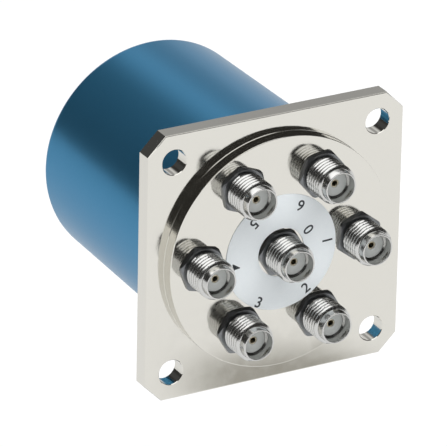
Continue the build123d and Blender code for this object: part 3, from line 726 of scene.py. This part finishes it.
can_front, can_back, can_wall, end_wall, can_break = -2.67, -41.67, 0.6, 0.8, 0.05
can_draft, outer_corner, inner_corner = 0.6, 1.2, 0.6
header_hole, screw_hole, screw_ring = 12.10, 1.1, 15.4
rear_radius, inner_back = boss_radius - can_draft, can_back + end_wall
section = [(boss_radius - can_break, can_front), (boss_radius, can_front - can_break)]
section += arc((rear_radius - outer_corner, can_back + outer_corner), outer_corner, 0, -90, 8)
section += [(header_hole + can_break, can_back), (header_hole, can_back + can_break),
            (header_hole, inner_back)]
section += arc((rear_radius - can_wall - inner_corner, inner_back + inner_corner), inner_corner,
               -90, 0, 5)
section += [(boss_radius - can_wall, can_front), (boss_radius - can_break, can_front)]
can = turned("can_finished", section, steps=256)
for angle in (30, 150, 270):
    x, z = on_ring(screw_ring, angle)
    cut(can, bar(screw_hole, can_back + 2, can_back - 2, x, z, 48))
dress(can, enamel)
smooth(can)
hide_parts("can")
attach(can, BODY)
report(can)

# %% [markdown]
# ## Light, floor and camera
# Polished metal shows its surroundings more than its own colour, so the studio is built for what
# each face mirrors. The front faces mirror a pale floor, the round walls and cut corners mirror a
# dome of dark cloth with paler patches, and the threads' crests mirror its bright patch overhead.
#
# The floor is white paper. A faint glow that only the camera and the mirrors see brings it to the
# white of a studio background and lights nothing. One spot in front is painted grey for mirrors
# only, as painted shade: the lower part of the boss's face mirrors it and darkens softly there.

# %% Floor of white paper
def seen_or_mirrored(tree):
    """1 for camera, mirror and glass rays, 0 for the rays that light matt surfaces."""
    rays = add(tree, "ShaderNodeLightPath")
    seen = add(tree, "ShaderNodeMath", {0: rays.outputs["Is Camera Ray"],
                                        1: rays.outputs["Is Glossy Ray"]}, operation="MAXIMUM")
    seen = add(tree, "ShaderNodeMath", {0: seen.outputs[0],
                                        1: rays.outputs["Is Transmission Ray"]},
               operation="MAXIMUM")
    return seen.outputs[0]


floor_height, floor_side = -0.08, 16
# A spot of painted shade on the paper, which only mirrors see.
mirrored_shade_spot, spot_radius, spot_edge = (0.058, -0.098, 0), 0.008, 0.016
glow_start, glow_end, near_glow, far_glow, camera_glow = 0.4, 2.0, 0.05, 0.5, 0.10
start_fresh()
bpy.ops.mesh.primitive_plane_add(size=floor_side, location=(0, 0, floor_height))
floor = bpy.context.object
floor.name = floor.data.name = "studio_floor"
material, tree, shader = finish("white_paper_floor")
shader.inputs["Roughness"].default_value = 0.9
shader.inputs["Specular IOR Level"].default_value = 0.0
where = add(tree, "ShaderNodeTexCoord")
rays = add(tree, "ShaderNodeLightPath")
from_spot = add(tree, "ShaderNodeVectorMath", {0: where.outputs["Object"], 1: mirrored_shade_spot},
                operation="DISTANCE")
near_mirrored_shade = add(tree, "ShaderNodeMapRange",
                {"Value": from_spot.outputs["Value"], "From Min": spot_radius,
                 "From Max": spot_radius + spot_edge, "To Min": 1.0, "To Max": 0.0},
                interpolation_type="SMOOTHSTEP")
mirrored_shade_mask = add(tree, "ShaderNodeMath",
             {0: near_mirrored_shade.outputs["Result"], 1: rays.outputs["Is Glossy Ray"]},
             operation="MULTIPLY")
# Mirrored rays see the paper painted grey round the spot: painted shade for the boss's face to
# mirror.
sheet = add(tree, "ShaderNodeMix",
            {0: mirrored_shade_mask.outputs[0], 6: linear("#F2F2F2"), 7: linear("#A09E98")}, data_type="RGBA")
tree.links.new(sheet.outputs[2], shader.inputs["Base Color"])
away = add(tree, "ShaderNodeVectorMath", {0: where.outputs["Object"]}, operation="LENGTH")
growing = add(tree, "ShaderNodeMapRange",
              {"Value": away.outputs["Value"], "From Min": glow_start, "From Max": glow_end,
               "To Min": near_glow, "To Max": far_glow}, interpolation_type="SMOOTHSTEP")
glow = add(tree, "ShaderNodeMath", {0: seen_or_mirrored(tree), 1: growing.outputs["Result"]},
           operation="MULTIPLY")
glow = add(tree, "ShaderNodeMath",
           {0: rays.outputs["Is Camera Ray"], 1: camera_glow, 2: glow.outputs[0]},
           operation="MULTIPLY_ADD")
paper = add(tree, "ShaderNodeEmission", {"Color": (1, 1, 1, 1), "Strength": glow.outputs[0]})
both = add(tree, "ShaderNodeAddShader", {0: shader.outputs[0], 1: paper.outputs[0]})
tree.links.new(both.outputs[0], tree.nodes["Material Output"].inputs["Surface"])
floor.data.materials.append(material)
report(floor)

# %% [markdown]
# Around the switch hangs dark cloth, which gives polished metal its depth. It is the upper half of
# a sphere, open below where the paper lies. Only mirrored rays see it, so it shades nothing, and
# the light on the painted and plastic pieces stays plain.

# %% Dark walls: a half dome of cloth down to the paper, seen in mirrors only
start_fresh()
bpy.ops.mesh.primitive_uv_sphere_add(segments=64, ring_count=32, radius=2.5)
walls = bpy.context.object
walls.name = walls.data.name = "studio_walls"
bpy.ops.object.mode_set(mode="EDIT")
bpy.ops.mesh.select_all(action="SELECT")
bpy.ops.mesh.bisect(plane_co=(0, 0, floor_height), plane_no=(0, 0, 1), clear_inner=True)
bpy.ops.object.mode_set(mode="OBJECT")
walls.visible_camera = walls.visible_diffuse = walls.visible_shadow = False
report(walls)

# %% Cloth that is darker or paler by direction
material, tree, shader = finish("dark_studio_cloth")
where = add(tree, "ShaderNodeTexCoord")
outward = add(tree, "ShaderNodeVectorMath", {0: where.outputs["Object"]}, operation="NORMALIZE")
cloth_patches = [
    # direction, half angle and soft edge in degrees, brightness
    ((0.56, 0.79, 0.26), 26, 14, 0.80),      # behind, for the upper sides of the round walls
    ((0.447, 0.789, 0.423), 5, 7, 0.42),     # behind and above, for the flange's top side
    ((-0.423, 0.789, 0.447), 8, 8, 0.07),    # behind on the left, for the upper left cut corner
    ((-0.13, 0.0, 1.0), 39, 5, 1.7),         # overhead, for the threads' crests
]
cloth = add(tree, "ShaderNodeRGB")
cloth.outputs[0].default_value = linear("#3B3A39")
shade = cloth.outputs[0]
for direction, half, soft, grey in cloth_patches:
    facing = add(tree, "ShaderNodeVectorMath",
                 {0: outward.outputs[0], 1: Vector(direction).normalized()},
                 operation="DOT_PRODUCT")
    weight = add(tree, "ShaderNodeMapRange",
                 {"Value": facing.outputs["Value"], "From Min": cos(radians(half + soft)),
                  "From Max": cos(radians(half))}, interpolation_type="SMOOTHSTEP")
    mixed = add(tree, "ShaderNodeMix",
                {0: weight.outputs["Result"], 6: shade, 7: (grey, grey, grey, 1)},
                data_type="RGBA")
    shade = mixed.outputs[2]
lit = add(tree, "ShaderNodeEmission", {"Color": shade, "Strength": 1.0})
tree.links.new(lit.outputs[0], tree.nodes["Material Output"].inputs["Surface"])
walls.data.materials.append(material)
print(len(cloth_patches), "patches on the cloth")

# %% [markdown]
# Light comes from two sources. The world is white and even all round, and lights matt surfaces at
# a plain level. One wide soft lamp overhead adds the rest, so that a colour renders about as it is
# written, and lays the shadow on the floor. Camera and mirrors don't see the lamp, because it would
# show as a hard rectangle.

# %% Plain light from all round
plain_light = 0.6
world = bpy.data.worlds.new("studio_room")
bpy.context.scene.world = world
world.use_nodes = True
tree = world.node_tree
level = add(tree, "ShaderNodeMapRange",
            {"Value": seen_or_mirrored(tree), "To Min": plain_light, "To Max": 1.0})
tree.links.new(level.outputs["Result"], tree.nodes["Background"].inputs["Strength"])
tree.nodes["Background"].inputs["Color"].default_value = (1, 1, 1, 1)

# %% The lamp overhead
lamp_direction, lamp_distance = (0.0, -0.45, 0.9), 1.4
lamp_width, lamp_depth, lamp_watts = 1.6, 1.2, 16.0
start_fresh()
spot = Vector(lamp_direction).normalized() * lamp_distance
bpy.ops.object.light_add(type="AREA", location=spot)
lamp = bpy.context.object
lamp.name = "overhead_softbox"
lamp.data.shape = "RECTANGLE"
lamp.data.size, lamp.data.size_y = lamp_width, lamp_depth
lamp.data.energy = lamp_watts
lamp.rotation_euler = spot.to_track_quat("Z", "Y").to_euler()
lamp.visible_camera = lamp.visible_glossy = False
print("world at", plain_light, "and a lamp of", lamp_watts, "W")

# %% [markdown]
# The camera looks from the front, from the left and from above, so that the flange's face, two of
# its sides and the can all show. It stands almost a metre away behind a long lens, which keeps the
# far jacks nearly as large as the near ones, and it is turned a little about its own axis.

# %% Camera
camera_place, camera_aim = (-0.414175, -0.730947, 0.391904), (-0.006184, 0.005058, 0.003084)
camera_roll, sensor_width, focal_length = 1.1928, 36, 486.65
start_fresh()
bpy.ops.object.camera_add(location=camera_place)
camera = bpy.context.object
camera.data.sensor_width = sensor_width
camera.data.lens = focal_length
camera.data.clip_end = 20
towards = (Vector(camera_aim) - camera.location).to_track_quat("-Z", "Y").to_matrix().to_4x4()
camera.rotation_euler = (towards @ Matrix.Rotation(radians(camera_roll), 4, "Z")).to_euler()
bpy.context.scene.camera = camera
bpy.context.scene.view_settings.view_transform = "Standard"
print("camera turned", [round(degrees(a), 2) for a in camera.rotation_euler])
